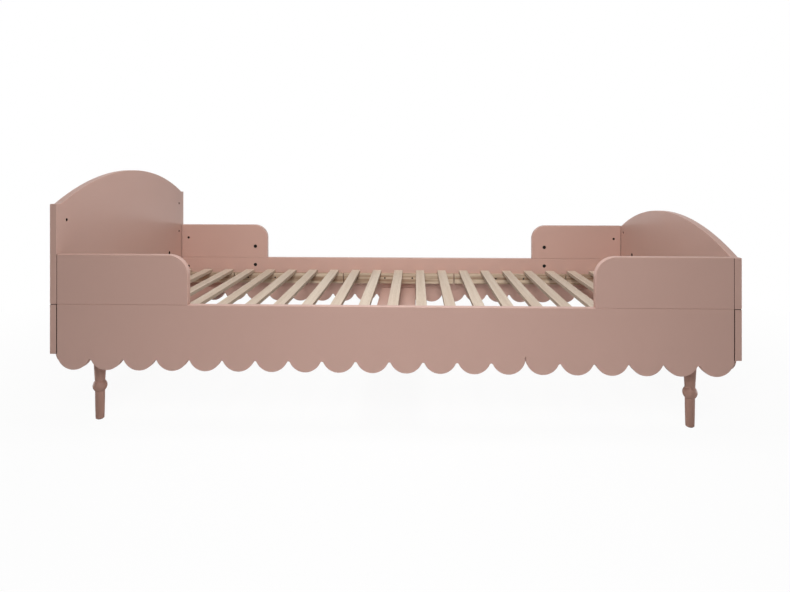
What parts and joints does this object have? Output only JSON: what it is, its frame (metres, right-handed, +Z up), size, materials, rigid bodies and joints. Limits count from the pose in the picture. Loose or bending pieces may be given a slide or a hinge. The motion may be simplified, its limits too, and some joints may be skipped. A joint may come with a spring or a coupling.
{
  "type": "toddler bed",
  "caption": "Low child's bed with scalloped side rails, arched head and foot panels, short rounded side guards, turned legs and a slatted base on ledgers.",
  "frame": {"origin": "on the floor, under the middle of the bed's bounding box", "axes": "+X along the bed towards the footboard, +Y across the bed towards its back side, +Z up; the side with the plain cusp is at -Y"},
  "size_m": [2.064, 0.964, 0.776],
  "materials": {
    "painted_board": "satin dusty pink paint on board, edges eased",
    "painted_turning": "satin dusty pink paint on turned wood",
    "pine_slat": "planed bare pine with fine grain",
    "pine_ledger": "sawn bare pine with knots",
    "beech_dowel": "bare fluted beech",
    "zinc_steel": "bright zinc plate",
    "black_steel": "black phosphate",
    "nylon": "moulded nylon"
  },
  "bodies": {
    "root": {"headboard_upper_panel": "painted_board", "headboard_lower_panel": "painted_board", "footboard_upper_panel": "painted_board", "footboard_lower_panel": "painted_board", "front_side_rail": "painted_board", "back_side_rail": "painted_board", "front_head_guard": "painted_board", "front_foot_guard": "painted_board", "back_head_guard": "painted_board", "back_foot_guard": "painted_board", "front_ledgers": "pine_ledger", "back_ledgers": "pine_ledger", "head_cross_board": "painted_board", "middle_cross_board": "painted_board", "foot_cross_board": "painted_board", "front_head_leg": "painted_turning", "front_foot_leg": "painted_turning", "back_head_leg": "painted_turning", "back_foot_leg": "painted_turning", "leg_glides": "nylon", "leg_plates": "zinc_steel", "leg_hanger_bolts": "zinc_steel", "leg_plate_screws": "zinc_steel", "angle_brackets": "zinc_steel", "bracket_screws": "zinc_steel", "end_bolts": "zinc_steel", "barrel_nuts": "black_steel", "cam_locks": "black_steel", "cam_dowels": "zinc_steel", "locating_dowels": "beech_dowel", "slat_pegs": "beech_dowel", "ledger_screws": "black_steel", "slat_01": "pine_slat", "slat_02": "pine_slat", "slat_03": "pine_slat", "slat_04": "pine_slat", "slat_05": "pine_slat", "slat_06": "pine_slat", "slat_07": "pine_slat", "slat_08": "pine_slat", "slat_09": "pine_slat", "slat_10": "pine_slat", "slat_11": "pine_slat", "slat_12": "pine_slat", "slat_13": "pine_slat", "slat_14": "pine_slat", "slat_15": "pine_slat", "slat_16": "pine_slat", "slat_17": "pine_slat", "slat_18": "pine_slat", "slat_19": "pine_slat", "slat_20": "pine_slat", "slat_21": "pine_slat"}
  },
  "joints": []
}
